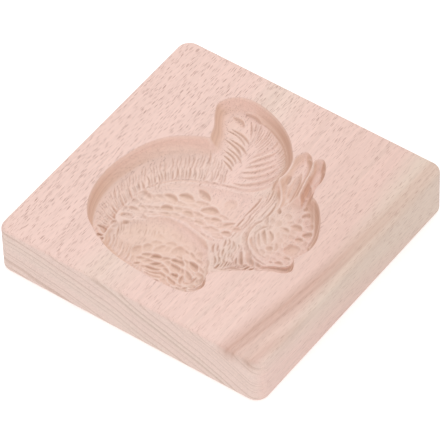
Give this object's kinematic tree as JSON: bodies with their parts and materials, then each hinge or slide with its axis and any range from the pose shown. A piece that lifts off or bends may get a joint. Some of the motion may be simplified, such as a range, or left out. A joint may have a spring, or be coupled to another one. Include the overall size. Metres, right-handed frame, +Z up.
{
  "type": "wooden cookie mould",
  "caption": "Square block of solid beech with a squirrel hollowed into its top face, for pressing dough into a raised figure.",
  "frame": {"origin": "centre of the flat underside that the board rests on", "axes": "+Z up out of the carved face, +Y towards the figure's ears, +X the way the figure looks"},
  "size_m": [0.1, 0.1, 0.018],
  "materials": {
    "beech": "bare sanded beech, unvarnished"
  },
  "bodies": {
    "root": {"mould_board": "beech"}
  },
  "joints": []
}
